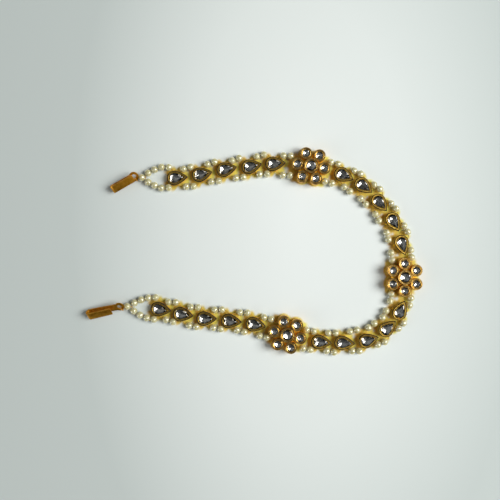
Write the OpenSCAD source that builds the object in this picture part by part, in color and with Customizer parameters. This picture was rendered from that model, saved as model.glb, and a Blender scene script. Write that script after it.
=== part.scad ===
// Matha patti: a row of stone-set drops and flowers between two edgings of pearls, with a
// pearl loop and a hair hook at each end. Millimetres; it lies on a table, stones upward.

/* [Drops] */
// Width of a drop setting at its round end
drop_w = 7.3; // [6.9:0.1:7.7]
// Length of a drop setting from its round end to its tip
drop_l = 10.4; // [10:0.1:11.2]
// Usual gap between the tip of one drop and the round end of the next
drop_gap = 2; // [1.7:0.1:2.6]
// Angle from the tip at which the round end runs into the straight flank
shoulder = 74; // [68:1:80]
// Height of the collet of a drop at its crest
drop_h = 3.9; // [3.6:0.1:4.6]

/* [Flowers] */
// Width of one petal cup
petal_d = 6; // [5.4:0.1:6.2]
// Width of the cup in the middle of a flower
middle_d = 7.4; // [6.8:0.1:7.8]
// Height of the petal cups
petal_h = 5.6; // [5:0.1:6.4]
// How far the middle cup stands above the petals
middle_rise = 0.9; // [0.4:0.1:1.4]

/* [Stones] */
// How far a stone stands above the crest of its collet
stone_rise = 0.35; // [0.1:0.05:0.8]
// Width of the sloping rim between a collet's wall and its stone
rim_w = 1.1; // [0.95:0.05:1.25]
// Width of the ring of facets around the table of a stone
facet_w = 0.95; // [0.7:0.05:1.2]

/* [Pearls] */
// Diameter of a pearl
pearl_d = 3.55; // [3.3:0.05:3.65]
// Gap between two pearls that lie side by side
pearl_gap = 0.12; // [0.1:0.01:0.2]
// Diameter of the hole through a pearl
pearl_bore = 0.8; // [0.76:0.02:0.9]
// Diameter of the stringing thread
thread_d = 0.36; // [0.3:0.02:0.38]

/* [Hooks] */
// Width of the strip that a hair hook is bent from
strip_w = 3.7; // [3.2:0.1:4]
// Thickness of that strip
strip_t = 0.6; // [0.5:0.05:0.7]
// Distance between the middles of a hook's two legs at the fold
hook_open = 3.2; // [2.8:0.1:3.4]
// Outer diameter of the eye at the end of a hook
eye_d = 4.8; // [4.6:0.1:5]
// Diameter of the hole in that eye
eye_hole = 2.4; // [2.2:0.1:2.6]
// Length of the free leg of a hook
free_leg = 12.7; // [11:0.1:13]

/* [Hidden] */
$fn = 48;

// The row as it lies on the table: where each setting is, and the way the row runs there
// (degrees). Drawn for a step of route_step from one drop to the next, and spaced out with it.
route_step = 12.4;
route = [
    [-37.95, 36.05, 5], [-25.45, 37.65, 13], [-13.15, 40.2, 12], [-0.65, 41.6, 13],
    [11.2, 43.1, 5],
    [30.35, 41.8, -9],
    [45.8, 38, -25], [55.9, 32.85, -37], [64.2, 24.6, -49], [71.4, 15.3, -62],
    [75.9, 3.9, -74],
    [76.95, -13.6, -90],
    [74.8, -31.6, -114], [68, -40.1, -138], [58, -45.65, -163], [45.9, -46.5, -184],
    [34.3, -46, -186],
    [18.6, -42.2, -195],
    [1.4, -37.1, -192], [-10.8, -35.5, -186], [-23.25, -34.35, -181], [-35, -32.1, -188],
    [-46.1, -29.55, -188]];
flowers = [5, 11, 17];      // which of them are flowers
middle = flowers[1];        // every tip points along the row towards this one
last = len(route) - 1;

// Middle of the whole piece on the table, in the same places as the route
route_middle = [1.87, -1.06];

// Pearl loops at the two ends, one row each:
COL_END = 0;     // the setting that it starts from
COL_AXIS = 1;    // heading of its axis, away from the row
COL_SHIFT = 2;   // how far the axis lies to the left of that setting's middle
COL_START = 3;   // where its first pair lies along the axis, in shares of pearl_reach
COL_TUCK = 4;    // how much closer to the axis than pearl_reach that pair lies
COL_TURN = 5;    // headings of its next three steps towards the axis
COL_NOSE = 6;    // slack before the pearl at its nose
COL_TILT = 7;    // how far the hole of its first pearls turns away from the axis
loops = [
    [0, 180, -0.4, 0.545, 0.33, [-2, 20, 28], 0.3, 30],
    [22, 175.7, 0, 0.34, -0.1, [8, 19, 29], 0.45, 25]];

// Hair hooks, one row each: heading from the nose pearl to the eye, heading of the hook from
// its fold to its eye, roll onto one edge, distance from eye to fold, lift of the eye
hooks = [
    [176, 26.6, 25, 12.9, 0.74],
    [178, 11.1, 38, 16.9, 0.75]];

// Derived sizes of the settings
r_drop = drop_w / 2;
tip_x = drop_l - r_drop;
flank_r = (tip_x * tip_x + r_drop * r_drop - 2 * tip_x * r_drop * cos(shoulder))
    / (2 * (r_drop - tip_x * cos(shoulder)));
flank_middle = -(flank_r - r_drop) * [cos(shoulder), sin(shoulder)];
spacing = (drop_l + drop_gap) / route_step;
r_petal = petal_d / 2;
r_middle = middle_d / 2;
petal_ring = r_petal + r_middle + 0.05;      // petal cups all but touch the middle one
flower_end = petal_ring + r_petal;
foot_in = 0.6;                               // the foot of a collet stands in from its wall
foot_h = thread_z() + pearl_bore / 2 + 0.12;
crest_in = 0.45;                             // crest of the rim, in from the wall
rim_drop = 0.45;                             // fall of the rim from its crest to the stone
wall_h = drop_h - 0.65;                      // plain wall below the rim
root = 0.15;                                 // how deep the rim is rooted in the wall
ledge = 0.08;                                // step between the wall's faces and the rim's
floor_t = 0.7;                               // metal that is left below a stone
fit = 0.12;                                  // clearance between loose pieces
seat_gap = 0.13;                             // and between a pearl and a setting beside it
drop_sides = 14;                             // chords round a drop's round end

// Derived sizes of the pearls and the thread
r_pearl = pearl_d / 2;
pitch = pearl_d + pearl_gap;
pearl_reach = r_drop + r_pearl;              // middle of a pearl that touches a round end
function thread_z() = pearl_d / 2;
// How far the middle of a pearl stays from the lower edge of a drop's wall, seen from above
wall_seat = sqrt(r_pearl * r_pearl - pow(foot_h - thread_z(), 2)) + seat_gap;
strand_gap = thread_d + 0.04;                // the two strands through a nose pearl
nose_bore = strand_gap + thread_d + 0.3;
ear_x = 0.7;                                 // the thread's ears at the widest part of a drop,
ear_y = r_drop - 0.2;                        // on the side of its tip
ear_r = pearl_bore / 2 + 0.2;
ear_l = 0.9;
lead = 0.3;                                  // straight stretch of thread beyond an ear
peep = 0.03;                                 // and beyond a pearl
flower_thread_y = petal_ring * 0.63;         // thread holes through the petals
flower_lead = flower_end - 3.4;              // and how far the thread runs straight there

// Where the pearls of a gap lie
flank_shift = 0.85;      // a pair sits back along the flank of the drop before it
round_tuck = 0.525;      // beside a round end, closer than pearl_reach
flank_tuck = 0.975;      // beside a flank
petal_tuck = 0.725;      // beside a flower
full_bend = 12;          // a bend of so many degrees draws the thread tight, which brings
bend_in = 0.5;           // the pearls on its outside so much nearer,
petal_in = 0.3;          // and so much more beside a flower,
bend_out = 1.05;         // and sends those on its inside so much farther out,
bend_most = 1.6;         // growing with the bend up to so many times as much

function two(k) = str(k < 10 ? "0" : "", k);

// Vectors and places
function unit(v) = v / norm(v);
function dir(a) = [cos(a), sin(a)];
function left(a) = [-sin(a), cos(a)];
function flat(v) = [v[0], v[1]];
function raise(p, z) = [p[0], p[1], z];
function is_flower(i) = len(search(i, flowers)) > 0;
function spot(i) = spacing * ([route[i][0], route[i][1]] - route_middle);
function way(i) = route[i][2];
function tip_way(i) = way(i) + (i > middle ? 180 : 0);
function setting_of(k) = [for (i = [0 : last]) if (!is_flower(i)) i][k - 1];
function place(p, a, v) = p + v[0] * dir(a) + v[1] * left(a);

// How far a setting reaches along the row, forward (f = 1) or back (f = -1)
function reach(i, f) = is_flower(i) ? flower_end : (i < middle) == (f > 0) ? tip_x : r_drop;

// The gap g lies between settings g and g + 1, with a pair of pearls on either side
function gap_start(g) = spot(g) + reach(g, 1) * dir(way(g));
function gap_end(g) = spot(g + 1) - reach(g + 1, -1) * dir(way(g + 1));
function gap_way(g) = (way(g) + way(g + 1)) / 2;
function gap_bend(g) = let (bend = abs(way(g) - way(g + 1)))
    bend < full_bend ? 0 : min(bend_most, bend / full_bend);
function by_flower(g) = is_flower(g) || is_flower(g + 1);
// Forward part of a pair's place: back along the flank of the drop whose tip is in the gap
function gap_shift(g) = g < middle
    ? (is_flower(g) ? 0 : -flank_shift)
    : (is_flower(g + 1) ? 0 : flank_shift);
// Is the pearl p (0 before, 1 after) of gap g beside a flank, a round end or a flower?
function gap_tuck(g, p) = by_flower(g) ? petal_tuck
    : (g < middle) == (p == 0) ? flank_tuck : round_tuck;
function gap_pull(g, side) = gap_bend(g) == 0 ? 0 : side < 0 ? -bend_out * gap_bend(g)
    : bend_in * gap_bend(g) + (by_flower(g) ? petal_in : 0);
function gap_pearl(g, side, p) =
    let (along = gap_shift(g) + (p - 0.5) * pitch,
         out = pearl_reach - gap_tuck(g, p) - gap_pull(g, side),
         drawn = place((gap_start(g) + gap_end(g)) / 2, gap_way(g), [along, side * out]))
    clear_of(drawn, side * left(gap_way(g)), neighbours(g, side, p), 0);

// What lies beside a pearl of a gap, as circles [middle, distance that the pearl's middle keeps]
function neighbours(g, side, p) = concat(round_faces(g), round_faces(g + 1),
    is_flower(g + p) || (g < middle) != (p == 0) ? [] : [flank_face(g + p, side)]);
function round_faces(i) = is_flower(i)
    ? [for (k = [0 : 5]) [spot(i) + petal_ring * dir(way(i) + 60 * k), r_petal + r_pearl + seat_gap]]
    : [[spot(i), r_drop + wall_seat]];
function flank_face(i, side) = [place(spot(i), tip_way(i),
    [flank_middle[0], (i > middle ? -side : side) * flank_middle[1]]), flank_r + wall_seat];
// The point p, moved the way n until it is clear of those circles one after the other
function clear_of(p, n, circles, k) = k == len(circles) ? p
    : let (w = p - circles[k][0], rho = circles[k][1])
    clear_of(norm(w) >= rho ? p : p + (sqrt((w * n) * (w * n) - w * w + rho * rho) - w * n) * n,
        n, circles, k + 1);

// Loop pearls: k = 1..4 from the nose, side 1 to the left of the loop's axis
function loop_origin(e) = place(spot(loops[e][COL_END]), loops[e][COL_AXIS],
    [0, loops[e][COL_SHIFT]]);
function loop_local(e, k) = k == 4
    ? [loops[e][COL_START] * pearl_reach, pearl_reach - loops[e][COL_TUCK]]
    : k > 0
    ? loop_local(e, k + 1) + pitch * [1, -1] * [[cos(loops[e][COL_TURN][3 - k]), 0],
                                               [0, sin(loops[e][COL_TURN][3 - k])]]
    : let (v = loop_local(e, 1)) [v[0] + sqrt(pitch * pitch - v[1] * v[1]) + loops[e][COL_NOSE], 0];
function loop_pearl(e, k, side) = let (v = loop_local(e, k))
    place(loop_origin(e), loops[e][COL_AXIS], [v[0], side * v[1]]);
function nose(e) = raise(loop_pearl(e, 0, 1), thread_z());

// The eye of a hook
function hook_roll(e) = hooks[e][2];
function hook_way(e) = hooks[e][1];
function hook_len(e) = hooks[e][3];
eye_near = 1.1;          // the rim of the eye lies over its pearl, this far from the middle
function eye_flat(e) = flat(nose(e)) + (eye_near + eye_d / 2) * dir(hooks[e][0]);
// Height of the middle of the strip where the rim crosses the pearl, and at the fold
function rim_z(e) = thread_z() + sqrt(pow(r_pearl + fit, 2) - eye_near * eye_near)
    + strip_t / 2 / cos(hook_roll(e)) + hooks[e][4];
function fold_z(e) = strip_w / 2 * sin(hook_roll(e)) + strip_t / 2 * cos(hook_roll(e)) + 0.02;
function hook_pitch(e) = asin((rim_z(e) - fold_z(e)) / (hook_len(e) + eye_d / 2));
function eye_middle(e) = raise(eye_flat(e), rim_z(e) - eye_d / 2 * sin(hook_pitch(e)));
// A point of the eye's own frame, x along the hook, y to its left, z off the strip
function on_hook(e, v) =
    let (r = hook_roll(e), p = hook_pitch(e), w = hook_way(e),
         a = [v[0], v[1] * cos(r) - v[2] * sin(r), v[1] * sin(r) + v[2] * cos(r)],
         b = [a[0] * cos(p) - a[2] * sin(p), a[1], a[0] * sin(p) + a[2] * cos(p)])
    [b[0] * cos(w) - b[1] * sin(w), b[0] * sin(w) + b[1] * cos(w), b[2]];

// The thread is a list of points [place, side vector]
function heading(v) = atan2(v[1], v[0]);
function turned_by(a) = a - 360 * round(a / 360);

// Where the thread leaves setting i, forward (f = 1) or back (f = -1) along the row
function anchor(i, side, f) = place(spot(i), way(i), is_flower(i)
    ? [f * flower_lead, side * flower_thread_y]
    : [(i < middle ? ear_x : -ear_x) + f * (ear_l / 2 + lead), side * ear_y]);

// Heading of the hole through pearl p of a gap: the two holes of a pair turn away from each
// other by the same angle, so that the thread runs straight from one to the other
function gap_hole(g, side, p) =
    let (a = gap_pearl(g, side, 0), b = gap_pearl(g, side, 1), c = heading(b - a),
         comes = turned_by(heading(a - anchor(g, side, 1)) - c),
         goes = turned_by(heading(anchor(g + 1, side, -1) - b) - c))
    c + (p == 0 ? 1 : -1) * (comes - goes) / 4;
// The same round a loop, away from the row; each hole mirrors the one before it
function loop_tilt(e, k) = k == 4 ? loops[e][COL_TILT]
    : -2 * loops[e][COL_TURN][3 - k] - loop_tilt(e, k + 1);
function loop_hole(e, k, side) = loops[e][COL_AXIS] + side * loop_tilt(e, k);

// A straight stretch of thread through something bored, half of it each way
function through(p, a, half) = [for (s = [-1, 1])
    [raise(p + s * half * dir(a), thread_z()), raise(left(a), 0)]];
function at_anchor(i, side, f) = [raise(anchor(i, side, f), thread_z()), raise(left(way(i)), 0)];

// One strand, from just after the first nose pearl to just before the last
function strand(side) = concat(
    [for (k = [1 : 4]) each through(loop_pearl(0, k, -side), loop_hole(0, k, -side) + 180,
        r_pearl + peep)],
    [for (i = [0 : last]) each concat([at_anchor(i, side, -1), at_anchor(i, side, 1)],
        i == last ? [] : [for (p = [0, 1]) each through(gap_pearl(i, side, p),
            gap_hole(i, side, p), r_pearl + peep)])],
    [for (k = [4 : -1 : 1]) each through(loop_pearl(1, k, side), loop_hole(1, k, side),
        r_pearl + peep)]);

// Through a nose pearl and round the rim of the eye, out by the strand u (1 above, -1 below)
wrap_at = -55;           // place of the thread on the rim, from the side of the pearl
function wrap_point(e, rho, z) = eye_middle(e)
    + on_hook(e, [rho * cos(wrap_on(e)), rho * sin(wrap_on(e)), z]);
// The same place as an angle of the hook's own frame
function wrap_on(e) = hooks[e][0] + 180 - hook_way(e) + wrap_at;
function wrap_side(e) = let (v = on_hook(e, [-sin(wrap_on(e)), cos(wrap_on(e)), 0]),
    l = raise(left(loops[e][COL_AXIS]), 0)) (v * l < 0 ? -1 : 1) * v;
nose_lead = 0.24;        // straight stretch of thread beyond a nose pearl
function nose_bore_ends(e, u) = [for (s = [-1, 1]) nose(e)
    + raise(s * (r_pearl + nose_lead) * dir(loops[e][COL_AXIS]), u * strand_gap / 2)];
rim_over = strip_t / 2 + thread_d / 2 + fit;
function wrap(e) = let (h = eye_hole / 2 - thread_d / 2 - fit, o = eye_d / 2 + thread_d / 2 + fit)
    [for (q = [[h - 0.1, -rim_over], [h - 0.15, 0], [h, rim_over - 0.1], [h + 0.3, rim_over],
               [o - 0.3, rim_over], [o, rim_over - 0.1], [o + 0.05, -strip_t / 2]])
        wrap_point(e, q[0], q[1])];
// From the row side of the nose pearl, round the eye and back to it
function turn(e) = let (l = raise(left(loops[e][COL_AXIS]), 0), out = nose_bore_ends(e, 1),
                        back = nose_bore_ends(e, -1)) concat(
    [[out[0], l], [out[1], l]], [for (p = wrap(e)) [p, wrap_side(e)]], [[back[1], l], [back[0], l]]);

function backwards(list) = [for (n = [len(list) - 1 : -1 : 0]) list[n]];
function turned(list) = [for (q = list) [q[0], -q[1]]];
// The side vector stays on the outer side of the row on both strands
thread_path = concat(strand(1), turn(1), backwards(strand(-1)), turned(backwards(turn(0))));

function ring_at(path, n, sides) =
    let (m = len(path), here = path[n][0], t = unit(unit(here - path[(n + m - 1) % m][0])
             + unit(path[(n + 1) % m][0] - here)),
         s = unit(path[n][1] - (path[n][1] * t) * t), up = cross(t, s))
    [for (k = [0 : sides - 1]) here + thread_d / 2 * (cos(360 * k / sides) * s
        + sin(360 * k / sides) * up)];

module closed_tube(path, sides) {
    m = len(path);
    polyhedron([for (n = [0 : m - 1]) each ring_at(path, n, sides)],
        [for (n = [0 : m - 1], k = [0 : sides - 1], half = [0, 1])
            let (a = n * sides, b = ((n + 1) % m) * sides, j = (k + 1) % sides)
            half == 0 ? [a + k, b + k, b + j] : [a + k, b + j, a + j]]);
}

// Outline of a drop moved in by d: the round end, then two flanks that meet in the tip
function drop_outline(d, n_round, n_flank) =
    let (r = r_drop - d, q = flank_middle, rr = flank_r - d,
         tip = asin(-q[1] / rr), span = shoulder - tip)
    concat(
        [for (k = [0 : n_round]) r * dir(shoulder + (360 - 2 * shoulder) * k / n_round)],
        [for (k = [1 : n_flank]) let (a = shoulder - span * k / n_flank)
            [q[0] + rr * cos(a), -(q[1] + rr * sin(a))]],
        [for (k = [n_flank - 1 : -1 : 1]) let (a = shoulder - span * k / n_flank)
            [q[0] + rr * cos(a), q[1] + rr * sin(a)]]);
function drop_ring(d, z) = [for (p = drop_outline(d, drop_sides, 5)) raise(p, z)];

// Solid between rings of equally many points, joined in order from the outer foot upward;
// closed when the last ring meets the first, otherwise capped
module skin(rings, closed) {
    m = len(rings[0]);
    n = len(rings);
    walls = [for (i = [0 : n - (closed ? 1 : 2)], k = [0 : m - 1], half = [0, 1])
        let (a = i * m, b = ((i + 1) % n) * m, j = (k + 1) % m)
        half == 0 ? [a + k, b + k, b + j] : [a + k, b + j, a + j]];
    caps = closed ? [] : [[for (k = [0 : m - 1]) k], [for (k = [m - 1 : -1 : 0]) (n - 1) * m + k]];
    polyhedron([for (r = rings) each r], concat(walls, caps));
}

module at_setting(i) {
    translate(raise(spot(i), 0)) rotate([0, 0, tip_way(i)]) children();
}

module drop_prism(d, z0, z1) {
    translate([0, 0, z0]) linear_extrude(z1 - z0) polygon(drop_outline(d, drop_sides, 5));
}

module drop_setting(k) {
    color([0.72, 0.56, 0.16]) at_setting(setting_of(k)) {
        difference() {
            union() {
                drop_prism(foot_in, 0, foot_h);
                drop_prism(0, foot_h, wall_h);
                for (side = [-1, 1]) translate([ear_x, side * ear_y, thread_z()])
                    rotate([0, 90, 0]) cylinder(r = ear_r, h = ear_l, center = true);
            }
            drop_prism(rim_w, floor_t, drop_h);
            for (side = [-1, 1]) translate([ear_x, side * ear_y, thread_z()])
                rotate([0, 90, 0]) cylinder(d = pearl_bore, h = 2 * ear_l, center = true);
        }
        // The rim is rooted in the top of the wall, a ledge in from both of its faces
        skin([drop_ring(ledge, wall_h - root), drop_ring(crest_in, drop_h),
              drop_ring(rim_w - ledge, drop_h - rim_drop),
              drop_ring(rim_w - ledge, wall_h - root)], true);
    }
}

// A cut stone under an outline given as a function of inset: keel, girdle, table
module drop_stone(k) {
    girdle = drop_h - rim_drop - 0.15;
    color([0.84, 0.87, 0.9]) at_setting(setting_of(k))
        skin([for (s = [[rim_w + fit + 1.1, floor_t + 0.9], [rim_w + fit, girdle],
                        [rim_w + fit, girdle + 0.15], [rim_w + fit + facet_w, drop_h + stone_rise]])
            [for (p = drop_outline(s[0], 6, 3)) raise(p, s[1])]], false);
}

function petal_spot(k) = petal_ring * dir(60 * k);

// Section of a round cup of radius r and height h, with a rim round its stone
module cup(r, h) {
    rotate_extrude() polygon([[0, 0], [r - 0.35, 0], [r - 0.35, 0.6], [r, 1], [r, h - 0.35],
        [r - crest_in, h], [r - rim_w, h - rim_drop], [r - rim_w, h - 1.9], [0, h - 1.9]]);
}

module flower_setting(k) {
    color([0.76, 0.5, 0.2]) at_setting(flowers[k - 1]) difference() {
        union() {
            cup(r_middle, petal_h + middle_rise);
            for (n = [0 : 5]) translate(raise(petal_spot(n), 0)) cup(r_petal, petal_h);
            cylinder(r = petal_ring, h = petal_h - 2.4);
        }
        for (side = [-1, 1]) translate([-flower_end, side * flower_thread_y, thread_z()])
            rotate([0, 90, 0]) cylinder(d = pearl_bore, h = 2 * flower_end);
    }
}

// A round cut stone of girdle radius r with its table at height z
module round_stone(r, z) {
    girdle = z - stone_rise - rim_drop - 0.15;
    skin([for (s = [[r * 0.45, girdle - 1], [r, girdle], [r, girdle + 0.15], [r - facet_w * 0.85, z]])
        [for (a = [0 : 45 : 315]) raise(s[0] * dir(a + 22.5), s[1])]], false);
}

module flower_stones(k) {
    color([0.84, 0.87, 0.9]) at_setting(flowers[k - 1]) {
        round_stone(r_middle - rim_w - fit, petal_h + middle_rise + stone_rise);
        for (n = [0 : 5]) translate(raise(petal_spot(n), 0))
            round_stone(r_petal - rim_w - fit, petal_h + stone_rise);
    }
}

module pearl(p, a, bore) {
    translate(raise(p, thread_z())) rotate([0, 90, a]) difference() {
        sphere(d = pearl_d);
        cylinder(d = bore, h = 2 * pearl_d, center = true);
    }
}

module pearls_loop(e) {
    color([0.95, 0.94, 0.88]) {
        pearl(nose(e), loops[e][COL_AXIS], nose_bore);
        for (side = [-1, 1], k = [1 : 4])
            pearl(loop_pearl(e, k, side), loop_hole(e, k, side), pearl_bore);
    }
}

// The stretches of the row between its ends and its flowers
stretch = [[0, 4], [5, 10], [11, 16], [17, 21]];

module pearls(k, side) {
    color([0.95, 0.94, 0.88]) for (g = [stretch[k - 1][0] : stretch[k - 1][1]], p = [0, 1])
        pearl(gap_pearl(g, side, p), gap_hole(g, side, p), pearl_bore);
}

// A strip folded over, its under leg ending in a flat eye, closing a little towards its ends
leg_close = 4;

module hook(e) {
    r_in = (hook_open - strip_t) / 2;
    fold_x = -hook_len(e) + r_in + strip_t;
    color([0.45, 0.28, 0.08])
    translate(eye_middle(e)) rotate([0, 0, hook_way(e)]) rotate([0, -hook_pitch(e), 0])
    rotate([hook_roll(e), 0, 0]) difference() {
        union() {
            cylinder(d = eye_d, h = strip_t, center = true);
            translate([fold_x, -strip_w / 2, -strip_t / 2]) cube([-fold_x - 1.6, strip_w, strip_t]);
            translate([-2.6, -strip_w / 4, -strip_t / 2]) cube([1.3, strip_w / 2, strip_t]);
            translate([fold_x, strip_w / 2, hook_open / 2]) rotate([90, 0, 0])
                linear_extrude(strip_w) {
                    difference() {
                        circle(r_in + strip_t);
                        circle(r_in);
                        polygon([[0, 0], [0, -2 * hook_open], [2 * hook_open, -2 * hook_open],
                            2 * hook_open * dir(90 - leg_close)]);
                    }
                    rotate(-leg_close) translate([0, r_in]) square([free_leg - hook_open / 2, strip_t]);
                }
        }
        cylinder(d = eye_hole, h = 2 * strip_t, center = true);
    }
}

module thread() {
    color([0.85, 0.82, 0.72]) closed_tube(thread_path, 6);
}

drop_setting(1);  // drop_setting_01
drop_setting(2);  // drop_setting_02
drop_setting(3);  // drop_setting_03
drop_setting(4);  // drop_setting_04
drop_setting(5);  // drop_setting_05
drop_setting(6);  // drop_setting_06
drop_setting(7);  // drop_setting_07
drop_setting(8);  // drop_setting_08
drop_setting(9);  // drop_setting_09
drop_setting(10);  // drop_setting_10
drop_setting(11);  // drop_setting_11
drop_setting(12);  // drop_setting_12
drop_setting(13);  // drop_setting_13
drop_setting(14);  // drop_setting_14
drop_setting(15);  // drop_setting_15
drop_setting(16);  // drop_setting_16
drop_setting(17);  // drop_setting_17
drop_setting(18);  // drop_setting_18
drop_setting(19);  // drop_setting_19
drop_setting(20);  // drop_setting_20
drop_stone(1);  // drop_stone_01
drop_stone(2);  // drop_stone_02
drop_stone(3);  // drop_stone_03
drop_stone(4);  // drop_stone_04
drop_stone(5);  // drop_stone_05
drop_stone(6);  // drop_stone_06
drop_stone(7);  // drop_stone_07
drop_stone(8);  // drop_stone_08
drop_stone(9);  // drop_stone_09
drop_stone(10);  // drop_stone_10
drop_stone(11);  // drop_stone_11
drop_stone(12);  // drop_stone_12
drop_stone(13);  // drop_stone_13
drop_stone(14);  // drop_stone_14
drop_stone(15);  // drop_stone_15
drop_stone(16);  // drop_stone_16
drop_stone(17);  // drop_stone_17
drop_stone(18);  // drop_stone_18
drop_stone(19);  // drop_stone_19
drop_stone(20);  // drop_stone_20
flower_setting(1);  // flower_setting_1
flower_setting(2);  // flower_setting_2
flower_setting(3);  // flower_setting_3
flower_stones(1);  // flower_stones_1
flower_stones(2);  // flower_stones_2
flower_stones(3);  // flower_stones_3
pearls_loop(0);  // pearls_upper_loop
pearls_loop(1);  // pearls_lower_loop
pearls(1, 1);  // pearls_1_outer
pearls(1, -1);  // pearls_1_inner
pearls(2, 1);  // pearls_2_outer
pearls(2, -1);  // pearls_2_inner
pearls(3, 1);  // pearls_3_outer
pearls(3, -1);  // pearls_3_inner
pearls(4, 1);  // pearls_4_outer
pearls(4, -1);  // pearls_4_inner
hook(0);  // hook_upper
hook(1);  // hook_lower
thread();
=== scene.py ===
"""Looks of the matha patti: gilt settings, foil-backed stones, pearls and hair hooks."""

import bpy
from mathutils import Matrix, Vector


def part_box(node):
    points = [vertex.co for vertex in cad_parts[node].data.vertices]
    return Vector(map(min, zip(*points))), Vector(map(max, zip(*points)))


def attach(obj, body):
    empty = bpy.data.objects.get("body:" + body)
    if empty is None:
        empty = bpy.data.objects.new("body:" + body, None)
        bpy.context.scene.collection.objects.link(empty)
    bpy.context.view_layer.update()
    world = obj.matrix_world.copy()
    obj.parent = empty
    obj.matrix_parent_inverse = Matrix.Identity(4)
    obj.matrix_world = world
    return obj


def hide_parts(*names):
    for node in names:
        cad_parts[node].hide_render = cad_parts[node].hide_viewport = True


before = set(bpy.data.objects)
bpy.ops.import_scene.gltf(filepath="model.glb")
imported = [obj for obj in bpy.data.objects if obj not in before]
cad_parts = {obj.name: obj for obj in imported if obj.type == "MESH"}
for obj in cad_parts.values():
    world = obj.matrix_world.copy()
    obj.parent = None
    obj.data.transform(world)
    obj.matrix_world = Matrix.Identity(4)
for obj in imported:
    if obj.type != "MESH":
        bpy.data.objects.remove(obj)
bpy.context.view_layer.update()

import math
import random

import bmesh
import bpy
from mathutils import Matrix, Vector
from mathutils.kdtree import KDTree

MM = 0.001
UP = Vector((0, 0, 1))
WELD = 1e-6                   # corners closer than this are one, m
chance = random.Random(7)

# Drops and flowers, in millimetres
ABOVE_EARS = 2.5              # a CAD drop has nothing but its wall and rim higher than this
RIM_SHARE = 0.8               # share of its height at which its rim starts
SHOULDER = math.radians(74)   # where a drop's round end runs into its flank, from the tip
SEAT_IN = 1.2                 # inner edge of a collet's lip, in from its wall
STONE_IN = 1.16               # girdle of a stone, a little under that lip
GIRDLE_DOWN = 0.46            # girdle of a stone, below the crest of its collet
GIRDLE_H = 0.1                # height of the girdle
DROP_FACET = 0.75             # from a drop stone's girdle in to its table
CUP_FACET = 0.65              # the same in a flower
DROP_DISH = (2.2, 0.53)       # the foil behind a stone is a shallow dish: its width and depth
CUP_DISH = (0.82, 0.16)       # the same in a flower, as shares of the stone's radius
FOIL_UNEVEN = 0.05            # the most that a crumple of the foil lies higher or lower
EAR_X = 0.7                   # the ears for the thread, from the middle of the round end
EAR_R = 0.6                   # an ear's radius
EAR_BORE = 0.4                # the radius of its hole
EAR_L = 0.9                   # its length
EAR_SOFT = 0.08               # the rounding of its ends
EAR_IN = 0.2                  # its middle, in from the wall
CAD_STONE_IN = 1.22           # girdle of a CAD stone, in from its collet's wall
SOLDER_FOOT = 0.9             # foot of the solder between a flower's cups
SOLDER_DOWN = 3.3             # its top, below the flower's crest
SOLDER_IN = 0.3               # its wall, in from the middles of the petals
THREAD_Z = 1.775              # the thread runs at the middle of the pearls

# Points round a drop's end and down its flank: for its collet, for the table of its stone, for
# the stone's girdle and for the foot about which reflected light and shade are painted on the card
COLLET_STEPS = (26, 11)
TABLE_STEPS = (5, 2)
GIRDLE_STEPS = (10, 4)
FOOT_STEPS = (60, 30)

# The same round a flower's cup, and round its solder
CUP_STEPS = 40
CUP_TABLE_STEPS = 8
CUP_GIRDLE_STEPS = 16
CUP_FOOT_STEPS = 60
SOLDER_STEPS = 36

# Edges that turn by more degrees than this stay sharp
METAL_SHARP = 28
HOOK_SHARP = 35
PEARL_SHARP = 60

# Hooks
HOOK_SOFT = 0.1               # what is taken off a hook's edges, mm
FLAT = math.radians(1)        # the CAD hook's facets within this angle are one face
CORNER = math.radians(40)     # and its edges past this one are taken off

# Pearls
PEARL_BORE = 0.4              # radius of a pearl's hole, mm
MOUTH_ROUND = 0.06            # rounding of the hole's mouths, mm
OUT_OF_ROUND = 0.012          # share by which one pearl differs from the next

# What the painted reflected light and shade on the card are worked out from, gathered as the
# pieces are made
gilt_walls = []
pearl_middles = []

# The painted pool of light on the card under the piece, in metres: where it is palest, and the
# half widths of the oval about that place at which it is greyest
POOL_MIDDLE = (0.022, 0.02, 0)
POOL_OVAL = (0.114, 0.224, 1)

# Materials


def linear(code):
    """An sRGB colour such as "F2C759" as the linear values with alpha that Blender uses."""
    shares = [int(code[k:k + 2], 16) / 255 for k in (0, 2, 4)]
    return [c / 12.92 if c <= 0.04045 else ((c + 0.055) / 1.055) ** 2.4 for c in shares] + [1.0]


def add(tree, kind, settings=None, inputs=None):
    """Adds a node. settings are its properties; inputs are its sockets' values or feeds."""
    node = tree.nodes.new(kind)
    for name, value in (settings or {}).items():
        setattr(node, name, value)
    for name, value in (inputs or {}).items():
        if isinstance(value, bpy.types.NodeSocket):
            tree.links.new(value, node.inputs[name])
        else:
            node.inputs[name].default_value = value
    return node


def finish_of(name, settings):
    """A new material: its node tree, and its shader with those settings."""
    material = bpy.data.materials.new(name)
    material.use_nodes = True
    tree = material.node_tree
    tree.nodes.clear()
    shader = add(tree, "ShaderNodeBsdfPrincipled", inputs=settings)
    add(tree, "ShaderNodeOutputMaterial", inputs={"Surface": shader.outputs["BSDF"]})
    return material, tree, shader


def blotches(tree, size_mm, detail=3.0):
    """Soft noise with blotches of about that size, as the factor of a ramp or a mix."""
    place = add(tree, "ShaderNodeTexCoord")
    return add(tree, "ShaderNodeTexNoise", inputs={
        "Vector": place.outputs["Object"], "Scale": 1 / (size_mm * MM), "Detail": detail})


def ramp(tree, factor, stops):
    """A colour ramp through stops (place, sRGB hex)."""
    node = add(tree, "ShaderNodeValToRGB", inputs={"Fac": factor})
    node.color_ramp.elements[0].position = stops[0][0]
    node.color_ramp.elements[0].color = linear(stops[0][1])
    node.color_ramp.elements[1].position = stops[-1][0]
    node.color_ramp.elements[1].color = linear(stops[-1][1])
    for place, code in stops[1:-1]:
        node.color_ramp.elements.new(place).color = linear(code)
    return node.outputs["Color"]


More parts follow.
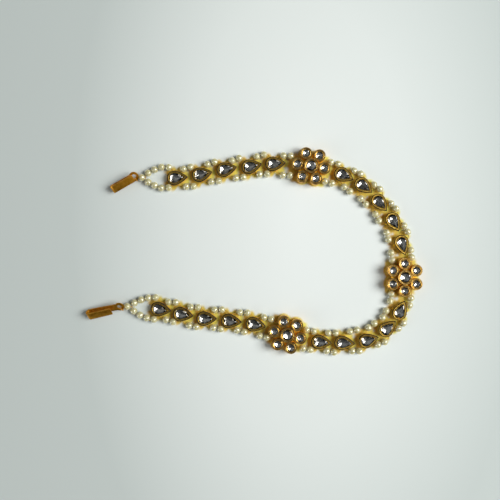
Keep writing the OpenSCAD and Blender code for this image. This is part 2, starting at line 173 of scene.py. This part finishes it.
def span(tree, factor, low, high):
    """A factor from 0 to 1 turned into a number from low to high."""
    node = add(tree, "ShaderNodeMapRange", inputs={"Value": factor, "To Min": low, "To Max": high})
    return node.outputs["Result"]


def product(tree, one, other):
    """Two colours multiplied. Of this node's sockets, 6 and 7 take colours and 2 gives one."""
    node = add(tree, "ShaderNodeMix", {"data_type": "RGBA", "blend_type": "MULTIPLY"},
               {"Factor": 1.0, 6: one, 7: other})
    return node.outputs[2]


def gilding(name, pale, deep, roughness, grain_mm=0.35):
    """Gold plate on cast brass, tumbled bright: mirror-like, its colour deeper in blotches where
    the plate is thin, and a fine unevenness that breaks up the reflections."""
    material, tree, shader = finish_of(name, {"Metallic": 1.0})
    cloud = blotches(tree, size_mm=1.6)
    grain = blotches(tree, grain_mm, detail=4.0)
    tree.links.new(ramp(tree, cloud.outputs["Fac"], [(0.3, deep), (0.7, pale)]),
                   shader.inputs["Base Color"])
    tree.links.new(span(tree, grain.outputs["Fac"], roughness * 0.7, roughness * 1.4),
                   shader.inputs["Roughness"])
    bump = add(tree, "ShaderNodeBump", inputs={
        "Height": grain.outputs["Fac"], "Strength": 0.12, "Distance": 0.02 * MM})
    tree.links.new(bump.outputs["Normal"], shader.inputs["Normal"])
    return material


def painted_shade_finish():
    """Painted shade and dark reflection for bevels and grooves: a nearly black brown, with
    hardly any gloss."""
    material, tree, shader = finish_of("painted_shade_finish", {"Roughness": 0.6, "Specular IOR Level": 0.3})
    shade_mottle = blotches(tree, size_mm=0.8)
    tree.links.new(ramp(tree, shade_mottle.outputs["Fac"], [(0.3, "120B03"), (0.7, "241806")]),
                   shader.inputs["Base Color"])
    return material


def pearl_lacquer():
    """Imitation pearls, resin beads dipped in pearl lacquer: cream, softly translucent, with a
    clear gloss over the lustre, a sheen towards the edge and faint clouds in the dip."""
    material, tree, shader = finish_of("pearl_lacquer", {
        "IOR": 1.55, "Roughness": 0.2, "Coat Weight": 1.0, "Coat Roughness": 0.12, "Coat IOR": 2.0,
        "Sheen Weight": 0.8, "Sheen Roughness": 0.4, "Sheen Tint": linear("F4E09A"),
        "Subsurface Weight": 1.0, "Subsurface Scale": 3.6 * MM,
        "Subsurface Radius": (1.0, 0.9, 0.6)})
    cloud = blotches(tree, size_mm=1.2)
    tree.links.new(ramp(tree, cloud.outputs["Fac"], [(0.3, "B4AE82"), (0.7, "C2BD98")]),
                   shader.inputs["Base Color"])
    return material


def stone_glass():
    """Cut lead glass: clear, a little brighter than window glass, with a polished surface that a
    jeweller's cloth has left faint smears on."""
    material, tree, shader = finish_of("stone_glass", {
        "Base Color": linear("FBFCFF"), "IOR": 1.58, "Transmission Weight": 1.0})
    smear = blotches(tree, size_mm=0.9)
    tree.links.new(span(tree, smear.outputs["Fac"], 0.0, 0.03), shader.inputs["Roughness"])
    return material


def stone_foil():
    """Silver foil behind the glass: a mirror gone a little dull and warm, slightly crumpled."""
    material, tree, shader = finish_of("stone_foil", {"Metallic": 1.0})
    crumple = blotches(tree, size_mm=0.8)
    tree.links.new(ramp(tree, crumple.outputs["Fac"], [(0.3, "B2AEA4"), (0.7, "DCD8D0")]),
                   shader.inputs["Base Color"])
    tree.links.new(span(tree, crumple.outputs["Fac"], 0.03, 0.1), shader.inputs["Roughness"])
    return material


def twisted_thread():
    """Two-ply golden silk: a soft sheen, with the twist showing as slanting ribs."""
    material, tree, shader = finish_of("twisted_thread", {"Roughness": 0.6, "Sheen Weight": 0.3})
    place = add(tree, "ShaderNodeTexCoord")
    ply = add(tree, "ShaderNodeTexWave", {"bands_direction": "DIAGONAL"}, {
        "Vector": place.outputs["Object"], "Scale": 1 / (1.2 * MM), "Distortion": 1.0})
    bump = add(tree, "ShaderNodeBump", inputs={
        "Height": ply.outputs["Fac"], "Strength": 0.6, "Distance": 0.05 * MM})
    tree.links.new(ramp(tree, ply.outputs["Fac"], [(0.1, "8A5A10"), (0.6, "D29C22")]),
                   shader.inputs["Base Color"])
    tree.links.new(bump.outputs["Normal"], shader.inputs["Normal"])
    return material


def pale_board():
    """Matt white card under the piece: pale, with no gloss, and a painted pool of light that greys
    off in ovals about its middle. Close to the gilt walls, painted reflected light and shade from
    them tint it."""
    material, tree, shader = finish_of("pale_board", {"Roughness": 0.9})
    place = add(tree, "ShaderNodeMapping", {"vector_type": "TEXTURE"}, {
        "Vector": add(tree, "ShaderNodeTexCoord").outputs["Object"],
        "Location": POOL_MIDDLE, "Scale": POOL_OVAL})
    # a painted pool of light: the card greys off in ovals away from its middle
    far = add(tree, "ShaderNodeVectorMath", {"operation": "LENGTH"}, {
        0: place.outputs["Vector"]})
    pool_lit_board = ramp(tree, far.outputs["Value"], [
        (0.0, "E5EAE6"), (0.5, "DAE0DC"), (0.75, "CDD4D0"), (1.0, "BEC6C2")])
    # painted reflected light and shade from the gilt walls, multiplied into the card's colour
    painted_gilt_light = add(tree, "ShaderNodeAttribute", {"attribute_name": "painted_gilt_light"})
    tree.links.new(product(tree, pool_lit_board, painted_gilt_light.outputs["Color"]), shader.inputs["Base Color"])
    return material


# A lip is burnished and brighter than the tumbled wall below it
DROP_LIP = gilding("drop_lip_gilt", "E8C45C", "C89838", roughness=0.3)
DROP_WALL = gilding("drop_wall_gilt", "F4CC3C", "DCA81C", roughness=0.45)
FLOWER_LIP = gilding("flower_lip_gilt", "F2C66C", "D0983C", roughness=0.28)
FLOWER_WALL = gilding("flower_wall_gilt", "ECB844", "CC9420", roughness=0.4)
# near-black painted shade and dark reflection for the bevels and grooves
SHADE_PAINT = painted_shade_finish()
HOOK_GILT = gilding("hook_gilt", "E4A638", "BC801C", roughness=0.42, grain_mm=0.25)
PEARL = pearl_lacquer()
GLASS = stone_glass()
FOIL = stone_foil()
THREAD = twisted_thread()

# Meshes


def skin(mesh, rings, closed=False, caps=(False, False), slots=""):
    """Walls through rings of equally many points, from the outside in; closed joins the last to
    the first, caps fill the first and the last. slots has a digit for each wall, the number of
    its material among the piece's; walls beyond its end take the first."""
    rows = [[mesh.verts.new(p) for p in ring] for ring in rings]
    faces = []
    for level, (low, high) in enumerate(zip(rows, rows[1:] + rows[:1] if closed else rows[1:])):
        count = len(low)
        for k in range(count):
            j = (k + 1) % count
            faces.append(mesh.faces.new((low[k], low[j], high[j], high[k])))
            faces[-1].material_index = int(slots[level]) if level < len(slots) else 0
    if caps[0]:
        faces.append(mesh.faces.new(rows[0][::-1]))
    if caps[1]:
        faces.append(mesh.faces.new(rows[-1]))
    for face in faces:
        face.smooth = True


def piece(name, mesh, materials, node, sharp=None):
    """Makes a piece of a finished bmesh. It stands for that CAD node; its edges that turn by
    more than sharp degrees stay sharp."""
    bmesh.ops.recalc_face_normals(mesh, faces=mesh.faces)
    data = bpy.data.meshes.new(name)
    mesh.to_mesh(data)
    mesh.free()
    for material in materials:
        data.materials.append(material)
    if sharp:
        data.set_sharp_from_angle(angle=math.radians(sharp))
    made = bpy.data.objects.new(name, data)
    bpy.context.scene.collection.objects.link(made)
    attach(made, "root")
    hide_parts(node)


def loose_parts(node):
    """The separate solids of a CAD node: each one's middle, highest corner, radii and the way
    of its longest edge."""
    mesh = bmesh.new()
    mesh.from_mesh(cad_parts[node].data)
    bmesh.ops.remove_doubles(mesh, verts=mesh.verts, dist=WELD)
    seen, parts = set(), []
    for start in mesh.verts:
        if start in seen:
            continue
        seen.add(start)
        group = [start]
        for corner in group:
            for edge in corner.link_edges:
                other = edge.other_vert(corner)
                if other not in seen:
                    seen.add(other)
                    group.append(other)
        low = Vector([min(v.co[k] for v in group) for k in range(3)])
        high = Vector([max(v.co[k] for v in group) for k in range(3)])
        middle = (low + high) / 2
        longest = max((e for v in group for e in v.link_edges), key=lambda e: e.calc_length())
        parts.append({
            "middle": middle,
            "high": high,
            "radius": max((v.co - middle).length for v in group),
            "plan_radius": max((v.co - middle).xy.length for v in group),
            "axis": (longest.verts[1].co - longest.verts[0].co).normalized()})
    mesh.free()
    return parts


class Drop:
    """Place and size of a drop, read off its CAD setting, in millimetres of its own frame: the
    middle of the round end at the origin, the tip along x."""

    def __init__(self, node):
        corners = [v.co.copy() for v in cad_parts[node].data.vertices]
        self.height = max(p.z for p in corners) / MM
        rim = [p for p in corners if p.z / MM > RIM_SHARE * self.height]
        wall = [p for p in corners if p.z / MM > ABOVE_EARS]
        mean = sum(rim, Vector()) / len(rim)
        tip = max(rim, key=lambda p: (p - mean).xy.length)
        along = (tip - mean).xy.normalized()
        reach = [p.xy.dot(along) for p in wall]
        side = Vector((-along.y, along.x))
        width = [p.xy.dot(side) for p in wall]
        self.radius = (max(width) - min(width)) / 2 / MM
        self.tip = (max(reach) - min(reach)) / MM - self.radius
        middle = along * (max(reach) - self.tip * MM) + side * (max(width) + min(width)) / 2
        self.place = Matrix.Translation(middle.to_3d()) @ Matrix.Rotation(
            math.atan2(along.y, along.x), 4, "Z") @ Matrix.Scale(MM, 4)

    def outline(self, inset, n_round, n_flank):
        """The outline moved in by inset: an arc round the end, a flatter arc down each flank."""
        tip, r = self.tip, self.radius
        flank = (tip * tip + r * r - 2 * tip * r * math.cos(SHOULDER)) / (
            2 * (r - tip * math.cos(SHOULDER)))
        from_x = -(flank - r) * math.cos(SHOULDER)
        from_y = -(flank - r) * math.sin(SHOULDER)
        small, big = r - inset, flank - inset
        meet = math.asin(-from_y / big)
        turn = (2 * math.pi - 2 * SHOULDER) / n_round
        points = [(small * math.cos(SHOULDER + turn * k), small * math.sin(SHOULDER + turn * k))
                  for k in range(n_round + 1)]
        step = (SHOULDER - meet) / n_flank
        down = [SHOULDER - step * k for k in range(1, n_flank + 1)]
        points += [(from_x + big * math.cos(a), -(from_y + big * math.sin(a))) for a in down]
        points += [(from_x + big * math.cos(a), from_y + big * math.sin(a)) for a in down[-2::-1]]
        return points

    def ring(self, inset, z, steps=COLLET_STEPS):
        """The outline at height z, in the frame's metres."""
        return [self.place @ Vector((x, y, z)) for x, y in self.outline(inset, *steps)]


def collet_section(height):
    """Section of a drop's collet, as distances in from its wall and heights: a foot, a plain
    wall, a bevelled shoulder with a flat crown and, inside a groove, the lip that is burnished
    over the stone."""
    return [
        (0.64, 0.0), (0.58, 0.05), (0.57, 1.9), (0.42, 2.12), (0.08, 2.28), (0.01, 2.42),
        (0.0, height - 0.92), (0.03, height - 0.84), (0.46, height - 0.54),
        (0.5, height - 0.5), (0.76, height - 0.52), (0.79, height - 0.66), (0.9, height - 0.66),
        (0.93, height - 0.1), (0.95, height - 0.02), (0.98, height), (1.03, height),
        (1.06, height - 0.02), (1.16, height - 0.12), (SEAT_IN, height - 0.22),
        (SEAT_IN, height - 0.5), (SEAT_IN, height - 1.3)]


# The wall is 0, the crown and the lip are 1, the bevel and the groove, in painted shade, are 2
COLLET_SLOTS = "000000222122211111111"


def add_ear(mesh, place, side_y):
    """A short drilled ear for the thread, a round tube with softened ends."""
    section = [(-0.5, EAR_BORE), (-0.5, EAR_R - EAR_SOFT), (-0.42, EAR_R), (0.42, EAR_R),
               (0.5, EAR_R - EAR_SOFT), (0.5, EAR_BORE)]
    steps = 16
    rings = []
    for share, radius in section:
        turns = [2 * math.pi * k / steps for k in range(steps)]
        rings.append([place @ Vector((EAR_X + share * EAR_L, side_y + radius * math.cos(a),
                                      THREAD_Z + radius * math.sin(a))) for a in turns])
    skin(mesh, rings, closed=True)


def make_collet(number, drop):
    """A drop's collet with its two ears."""
    mesh = bmesh.new()
    skin(mesh, [drop.ring(*point) for point in collet_section(drop.height)], caps=(True, True),
         slots=COLLET_SLOTS)
    for side in (-1, 1):
        add_ear(mesh, drop.place, side * (drop.radius - EAR_IN))
    gilt_walls.extend(drop.ring(0, 0, FOOT_STEPS))
    node = f"drop_setting_{number:02d}"
    piece(f"collet_{number:02d}", mesh, [DROP_WALL, DROP_LIP, SHADE_PAINT], node,
          METAL_SHARP)


def add_cut(mesh, outline, coarse, fine, crest, table_z, facet, dish, dip):
    """A cut stone. outline(inset, z, steps) gives its rings; the coarse rings have half the
    points of the fine ones. Glass facets above the girdle, foil facets below in a dish of that
    width and dip, no two quite alike."""
    girdle_z = crest - GIRDLE_DOWN
    table = outline(STONE_IN + facet, table_z, coarse)
    waist = outline(STONE_IN + facet * 0.25, girdle_z * 0.5 + table_z * 0.5, fine)
    edge = outline(STONE_IN, girdle_z + GIRDLE_H, fine)
    under = outline(STONE_IN, girdle_z, fine)
    dish_1 = outline(STONE_IN + dish * 0.5, girdle_z - dip * 0.6, coarse)
    dish_2 = outline(STONE_IN + dish, girdle_z - dip, coarse)
    table, waist, edge, under, dish_1, dish_2 = [
        [mesh.verts.new(p) for p in ring] for ring in (table, waist, edge, under, dish_1, dish_2)]
    for corner in dish_1:
        corner.co.z += chance.uniform(-FOIL_UNEVEN, FOIL_UNEVEN) * MM
    count, glass, foil = len(table), [], []
    glass.append(mesh.faces.new(table))
    foil.append(mesh.faces.new(dish_2[::-1]))
    for k in range(count):
        j, back = (k + 1) % count, 2 * k - 1
        here, between, there = 2 * k, 2 * k + 1, (2 * k + 2) % (2 * count)
        glass += [mesh.faces.new(f) for f in (
            (table[k], waist[between], table[j]),
            (table[k], waist[back], edge[here]),
            (table[k], edge[here], waist[between]),
            (waist[between], edge[here], edge[between]),
            (waist[between], edge[between], edge[there]),
            (edge[here], under[here], under[between], edge[between]),
            (edge[between], under[between], under[there], edge[there]))]
        foil += [mesh.faces.new(f) for f in (
            (dish_1[k], under[back], under[here]),
            (dish_1[k], under[here], under[between]),
            (dish_1[k], under[between], dish_1[j]),
            (dish_2[k], dish_1[k], dish_1[j], dish_2[j]))]
    for face in foil:
        face.material_index = 1
    for face in glass + foil:
        face.smooth = False


def make_drop_stone(number, drop):
    """The stone in a drop's collet."""
    node = f"drop_stone_{number:02d}"
    table_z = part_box(node)[1].z / MM
    mesh = bmesh.new()
    add_cut(mesh, drop.ring, TABLE_STEPS, GIRDLE_STEPS, drop.height, table_z, DROP_FACET,
            *DROP_DISH)
    piece(f"stone_{number:02d}", mesh, [GLASS, FOIL], node)


def circle(middle, radius, z, count, turn=0.0):
    """Points round a middle given in metres; radius and height are in millimetres."""
    return [Vector((middle.x + radius * MM * math.cos(turn + 2 * math.pi * k / count),
                    middle.y + radius * MM * math.sin(turn + 2 * math.pi * k / count), z * MM))
            for k in range(count)]


def cup_section(height):
    """Section of a flower's cup, as for a collet: a stepped foot, a tall wall, a flat crown, a
    groove and the lip that slopes down to the stone."""
    return [
        (0.4, 0.0), (0.34, 0.06), (0.33, 0.5), (0.1, 0.85), (0.03, 1.1), (0.01, 1.3),
        (0.0, height - 0.4), (0.06, height - 0.2), (0.16, height - 0.05), (0.22, height),
        (0.32, height), (0.4, height - 0.01), (0.44, height - 0.2), (0.66, height - 0.24),
        (0.7, height - 0.08), (0.74, height - 0.06), (0.8, height - 0.06),
        (0.84, height - 0.08), (1.14, height - 0.28), (SEAT_IN, height - 0.36),
        (SEAT_IN, height - 0.58), (SEAT_IN, height - 1.3)]


# The wall is 0, the crown and the lip are 1, the shoulder, the groove and the seat, in painted
# shade, are 2
CUP_SLOTS = "000000221112211111221"


def make_flower(number):
    """Seven cups soldered together, each with its own stone."""
    node, stones_node = f"flower_setting_{number}", f"flower_stones_{number}"
    parts = loose_parts(stones_node)
    centre = sum((p["middle"] for p in parts), Vector()) / len(parts)
    parts.sort(key=lambda p: (p["middle"] - centre).xy.length)
    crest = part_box(node)[1].z / MM
    proud = parts[0]["high"].z / MM - crest
    ring_r = (parts[-1]["middle"] - centre).xy.length / MM
    gold, cut = bmesh.new(), bmesh.new()
    for part in parts:
        radius = part["plan_radius"] / MM + CAD_STONE_IN
        height = part["high"].z / MM - proud
        spot = part["middle"]
        skin(gold, [circle(spot, radius - inset, z, CUP_STEPS)
                    for inset, z in cup_section(height)], caps=(True, True), slots=CUP_SLOTS)
        gilt_walls.extend(circle(spot, radius, 0, CUP_FOOT_STEPS))
        turn = chance.random() * math.pi
        add_cut(cut, lambda inset, z, steps: circle(spot, radius - inset, z, steps, turn),
                CUP_TABLE_STEPS, CUP_GIRDLE_STEPS, height, height + proud, CUP_FACET,
                *[share * (radius - STONE_IN) for share in CUP_DISH])
    skin(gold, [circle(centre, ring_r - SOLDER_IN, z, SOLDER_STEPS)
                for z in (SOLDER_FOOT, crest - SOLDER_DOWN)], caps=(True, True))
    piece(f"flower_{number}", gold, [FLOWER_WALL, FLOWER_LIP, SHADE_PAINT], node,
          METAL_SHARP)
    piece(f"flower_gems_{number}", cut, [GLASS, FOIL], stones_node)


def add_pearl(mesh, middle, axis, radius, bore):
    """A drilled bead, turned round the line of its hole."""
    around, steps = 20, 14
    turn = UP.rotation_difference(axis)
    mouth = math.asin(bore / radius) + MOUTH_ROUND * MM / radius
    section = []
    for k in range(steps + 1):
        a = mouth + (math.pi - 2 * mouth) * k / steps
        section.append((-radius * math.cos(a), radius * math.sin(a)))
    end = radius * math.cos(mouth) - MOUTH_ROUND * MM
    section += [(end, bore), (0, bore), (-end, bore)]
    rings = []
    for along, out in section:
        turns = [2 * math.pi * k / around for k in range(around)]
        rings.append([middle + turn @ Vector((out * math.cos(a), out * math.sin(a), along))
                      for a in turns])
    skin(mesh, rings, closed=True)


def make_pearls(node):
    """The pearls of a CAD node, no two quite of one size."""
    mesh = bmesh.new()
    for part in loose_parts(node):
        size = part["radius"] * (1 - chance.random() * OUT_OF_ROUND)
        add_pearl(mesh, part["middle"], part["axis"], size, PEARL_BORE * MM)
        pearl_middles.append(part["middle"])
    piece(node.replace("pearls", "pearl_string"), mesh, [PEARL], node, PEARL_SHARP)


def make_hook(node):
    """A folded strip with its edges taken off, from the CAD hook's own form."""
    mesh = bmesh.new()
    mesh.from_mesh(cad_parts[node].data)
    bmesh.ops.remove_doubles(mesh, verts=mesh.verts, dist=WELD)
    bmesh.ops.dissolve_limit(mesh, angle_limit=FLAT, verts=mesh.verts, edges=mesh.edges)
    edges = [e for e in mesh.edges if e.is_manifold and e.calc_face_angle() > CORNER]
    bmesh.ops.bevel(mesh, geom=edges, offset=HOOK_SOFT * MM, segments=2, profile=0.6,
                    affect="EDGES", clamp_overlap=True)
    for face in mesh.faces:
        face.smooth = True
    piece(node.replace("hook", "folded_hook"), mesh, [HOOK_GILT], node, HOOK_SHARP)


for number in range(1, 21):
    drop = Drop(f"drop_setting_{number:02d}")
    make_collet(number, drop)
    make_drop_stone(number, drop)

for number in range(1, 4):
    make_flower(number)

for stretch in range(1, 5):
    for side in ("outer", "inner"):
        make_pearls(f"pearls_{stretch}_{side}")
for end in ("upper", "lower"):
    make_pearls(f"pearls_{end}_loop")
    make_hook(f"hook_{end}")

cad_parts["thread"].data.materials.clear()
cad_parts["thread"].data.materials.append(THREAD)

# Table, light and camera

# How painted reflected light and painted shade from the gilt walls colour the card, in millimetres
# unless it says otherwise
GLOW_REACH = 3.5               # nothing farther from a wall than this is coloured
GLOW_FULL = (0.2, 1.2)         # the colour is full up to so far from a bare wall, and what is
                               # added to that where the place is hemmed in
GLOW_END = (1.0, 2.5)          # it has gone so far from the wall, and what is added to that
HEM_REACH = 3.6                # walls as near as this hem a place in
PEARL_HEM = (2.6, 4.4)         # a pearl so near hems it in wholly, and one so far not at all
WALL_HEM = (0.2, 0.6)          # the same for walls, by the share of them on one side of it
PAINTED_SHADE_TINT = linear("ECB444")   # painted shade, away from the lamp
PAINTED_LIGHT_TINT = linear("FCEE70")  # painted reflected light, on the side that the lamp strikes

CELL = 0.6                     # cells of the card where the piece lies
CELLS_TO = (90, 60)            # how far they reach
CARD_TO = 900                  # and how far the card does


def fade(value, full, none):
    """1 up to full and 0 beyond none, with a soft run between them."""
    share = min(1, max(0, (none - value) / (none - full)))
    return share * share * (3 - 2 * share)


def painted_gilt_light_at(place, walls, pearls):
    """Colour by which the card is multiplied at a place, as painted reflected light and shade:
    yellow on the side of a gilt wall that the lamp strikes, brown on the other, and reaching
    farther where pearls or walls hem it in."""
    wall, _, distance = walls.find(place)
    if distance > GLOW_REACH * MM:
        return [1.0] * 4
    around = walls.find_range(place, HEM_REACH * MM)
    ways = [(point - place).normalized() for point, _, _ in around]
    hemmed = max(fade(pearls.find(place)[2] / MM, *PEARL_HEM),
                 fade(sum(ways, Vector()).length / len(ways), *WALL_HEM))
    near = fade(distance / MM, GLOW_FULL[0] + GLOW_FULL[1] * hemmed,
                GLOW_END[0] + GLOW_END[1] * hemmed)
    lit = 0.5 + 0.5 * (place - wall).normalized().x
    return [1 - near * (1 - dark - (light - dark) * lit)
            for dark, light in zip(PAINTED_SHADE_TINT, PAINTED_LIGHT_TINT)]


def nearest_of(points):
    """A search tree of points on the card."""
    tree = KDTree(len(points))
    for number, point in enumerate(points):
        tree.insert(Vector((point.x, point.y, 0)), number)
    tree.balance()
    return tree


def table():
    """A white card, in cells fine enough for the painted reflected light and shade where the piece
    lies.
    """
    walls, pearls = nearest_of(gilt_walls), nearest_of(pearl_middles)
    lines = []
    for reach in CELLS_TO:
        steps = round(reach / CELL)
        near = [k * CELL * MM for k in range(-steps, steps + 1)]
        lines.append([-CARD_TO * MM] + near + [CARD_TO * MM])
    across, along = lines
    points = [Vector((x, y, 0)) for y in along for x in across]
    width = len(across)
    mesh = bpy.data.meshes.new("table_card")
    mesh.from_pydata(points, [], [
        (row * width + k, row * width + k + 1, (row + 1) * width + k + 1, (row + 1) * width + k)
        for row in range(len(along) - 1) for k in range(width - 1)])
    # painted reflected light and shade near the gilt walls, kept at the card's points
    painted_gilt_light = mesh.attributes.new("painted_gilt_light", "FLOAT_COLOR", "POINT")
    painted_gilt_light.data.foreach_set("color", [c for place in points for c in painted_gilt_light_at(place, walls, pearls)])
    mesh.materials.append(pale_board())
    card = bpy.data.objects.new("table_card", mesh)
    bpy.context.scene.collection.objects.link(card)


table()


def lamp(name, toward, distance, size, watts):
    """A square white soft box that looks at the piece from the direction toward."""
    light = bpy.data.lights.new(name, "AREA")
    light.shape = "SQUARE"
    light.size = size
    light.energy = watts
    made = bpy.data.objects.new(name, light)
    made.location = Vector(toward).normalized() * distance
    made.rotation_euler = Vector(toward).to_track_quat("Z", "Y").to_euler()
    bpy.context.scene.collection.objects.link(made)


lamp("window", toward=(0.71, 0.05, 0.7), distance=1.3, size=0.74, watts=21.5)
lamp("wall", toward=(-0.88, -0.36, 0.3), distance=1.3, size=0.7, watts=5)


def studio():
    """A room with a pale ceiling, darker lower down. As the photograph lies, it is bright to the
    upper left and the lower right and dim to the upper right and the lower left."""
    world = bpy.data.worlds.new("studio")
    world.use_nodes = True
    tree = world.node_tree
    tree.nodes.clear()
    way = add(tree, "ShaderNodeSeparateXYZ", inputs={
        "Vector": add(tree, "ShaderNodeTexCoord").outputs["Generated"]})
    height = ramp(tree, way.outputs["Z"], [(0.0, "303030"), (0.3, "585856"), (0.5, "8A8C8A"),
                                           (0.7, "909292"), (1.0, "888C90")])
    side = add(tree, "ShaderNodeVectorMath", {"operation": "DOT_PRODUCT"}, {
        0: add(tree, "ShaderNodeTexCoord").outputs["Generated"], 1: (0.6, 0.8, 0)})
    bright = add(tree, "ShaderNodeMapRange", inputs={
        "Value": side.outputs["Value"], "From Min": -0.8, "From Max": 0.8})
    across = ramp(tree, bright.outputs["Result"], [
        (0.0, "585858"), (0.25, "949494"), (0.45, "F4F4F4"), (0.6, "F4F4F4"), (1.0, "606060")])
    shade = add(tree, "ShaderNodeBackground", inputs={
        "Color": product(tree, height, across), "Strength": 1.2})
    add(tree, "ShaderNodeOutputWorld", inputs={"Surface": shade.outputs["Background"]})
    bpy.context.scene.world = world


studio()

CAMERA_OVER = (-1.87, 1.06)    # what lies under the middle of the photograph, mm
CAMERA_Z = 288.5
FRAME_WIDTH = 250              # of the photograph, at the height of the stones
FRAME_Z = 3.5                  # which is this

camera = bpy.data.cameras.new("camera")
camera.sensor_width = 36
camera.lens = camera.sensor_width * (CAMERA_Z - FRAME_Z) / FRAME_WIDTH
camera.clip_start = 0.01
viewer = bpy.data.objects.new("camera", camera)
viewer.location = (CAMERA_OVER[0] * MM, CAMERA_OVER[1] * MM, CAMERA_Z * MM)
bpy.context.scene.collection.objects.link(viewer)
bpy.context.scene.camera = viewer
bpy.context.scene.view_settings.view_transform = "Standard"
